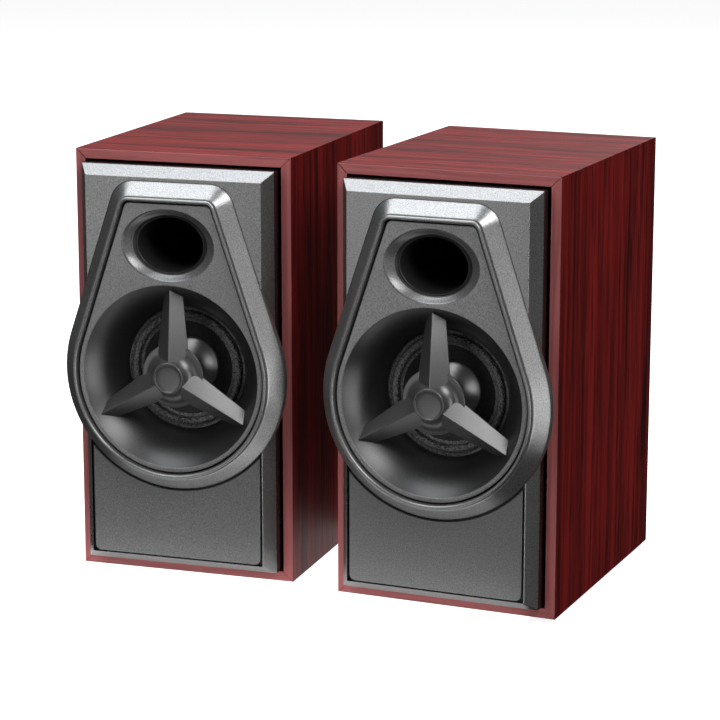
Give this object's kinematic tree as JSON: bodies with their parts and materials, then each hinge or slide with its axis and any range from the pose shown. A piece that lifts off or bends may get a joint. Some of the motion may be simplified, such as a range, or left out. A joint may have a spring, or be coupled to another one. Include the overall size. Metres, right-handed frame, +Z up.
{
  "type": "pair of desktop speakers",
  "caption": "Pair of wooden-cabinet desktop speakers with a drop-shaped bezel, a horn-loaded driver behind a bladed phase plug, and a flared port above.",
  "frame": {"origin": "middle of the pair's bounding box, on the surface the rubber feet stand on", "axes": "+X to the right as seen from the front, +Y backward (the right speaker faces -Y, the left one is turned 5.1 degrees towards it), +Z up"},
  "size_m": [0.1936, 0.1382, 0.1565],
  "materials": {
    "wood_veneer": "red-brown wood veneer on board, satin",
    "foot_rubber": "matte black rubber",
    "panel_plastic": "charcoal satin paint with fine metallic speckle",
    "insert_plastic": "charcoal satin, flat",
    "bezel_plastic": "dark charcoal satin with fine metallic speckle",
    "horn_plastic": "charcoal satin",
    "port_plastic": "black satin",
    "plug_plastic": "grey semi-gloss",
    "gasket_foam": "soft gasket",
    "surround_foam": "black foam",
    "cone_paper": "black paper",
    "cap_metal": "metallic coated dome",
    "coil_copper": "varnished copper winding",
    "spider_cloth": "impregnated cloth",
    "basket_steel": "black painted steel",
    "motor_steel": "plated steel",
    "ferrite": "sintered ferrite",
    "tab_brass": "tinned tabs on a strip",
    "back_board": "black painted board",
    "screw_steel": "black oxide steel",
    "wire_pvc": "PVC insulation",
    "connector_plastic": "black moulded plastic",
    "board_laminate": "green laminate",
    "can_aluminium": "sleeved aluminium cans",
    "jack_plastic": "black nylon",
    "gland_rubber": "black rubber",
    "pot_metal": "plated case",
    "shaft_steel": "steel",
    "knob_plastic": "black moulded plastic"
  },
  "bodies": {
    "right_speaker": {"right_cabinet_top": "wood_veneer", "right_cabinet_bottom": "wood_veneer", "right_cabinet_left_side": "wood_veneer", "right_cabinet_right_side": "wood_veneer", "right_feet": "foot_rubber", "right_front_panel": "panel_plastic", "right_lower_insert": "insert_plastic", "right_bezel": "bezel_plastic", "right_horn_plate": "horn_plastic", "right_port_tube": "port_plastic", "right_phase_plug": "plug_plastic", "right_driver_gasket": "gasket_foam", "right_surround": "surround_foam", "right_spider": "spider_cloth", "right_driver_basket": "basket_steel", "right_top_plate": "motor_steel", "right_magnet": "ferrite", "right_yoke": "motor_steel", "right_driver_terminals": "tab_brass", "right_cabinet_back": "back_board", "right_screws": "screw_steel", "right_speaker_wires": "wire_pvc", "right_connector_plate": "connector_plastic", "right_circuit_board": "board_laminate", "right_capacitors": "can_aluminium", "right_jack_sockets": "jack_plastic", "right_power_gland": "gland_rubber", "right_pot_body": "pot_metal"},
    "left_speaker": {"left_cabinet_top": "wood_veneer", "left_cabinet_bottom": "wood_veneer", "left_cabinet_left_side": "wood_veneer", "left_cabinet_right_side": "wood_veneer", "left_feet": "foot_rubber", "left_front_panel": "panel_plastic", "left_lower_insert": "insert_plastic", "left_bezel": "bezel_plastic", "left_horn_plate": "horn_plastic", "left_port_tube": "port_plastic", "left_phase_plug": "plug_plastic", "left_driver_gasket": "gasket_foam", "left_surround": "surround_foam", "left_spider": "spider_cloth", "left_driver_basket": "basket_steel", "left_top_plate": "motor_steel", "left_magnet": "ferrite", "left_yoke": "motor_steel", "left_driver_terminals": "tab_brass", "left_cabinet_back": "back_board", "left_screws": "screw_steel", "left_speaker_wires": "wire_pvc", "left_input_socket": "jack_plastic"},
    "right_cone": {"right_cone": "cone_paper", "right_dust_cap": "cap_metal", "right_voice_coil": "coil_copper"},
    "left_cone": {"left_cone": "cone_paper", "left_dust_cap": "cap_metal", "left_voice_coil": "coil_copper"},
    "volume_knob": {"right_pot_shaft": "shaft_steel", "right_volume_knob": "knob_plastic"}
  },
  "joints": [
    {"name": "speaker_spread", "type": "slide", "parent": "right_speaker", "child": "left_speaker", "axis": [-1, 0, 0], "range_m": [0, 0.3]},
    {"name": "right_cone_travel", "type": "slide", "parent": "right_speaker", "child": "right_cone", "axis": [0, 1, 0], "range_m": [-0.002, 0.002], "stiffness_N_per_m": 1000, "deforming": ["right_surround", "right_spider"]},
    {"name": "left_cone_travel", "type": "slide", "parent": "left_speaker", "child": "left_cone", "axis": [-0.0889, 0.996, 0], "range_m": [-0.002, 0.002], "stiffness_N_per_m": 1000, "deforming": ["left_surround", "left_spider"]},
    {"name": "volume_turn", "type": "hinge", "parent": "right_speaker", "child": "volume_knob", "pos_m": [0.04173, 0.05915, 0.0465], "axis": [0, 1, 0], "range_deg": [-150, 150]}
  ]
}
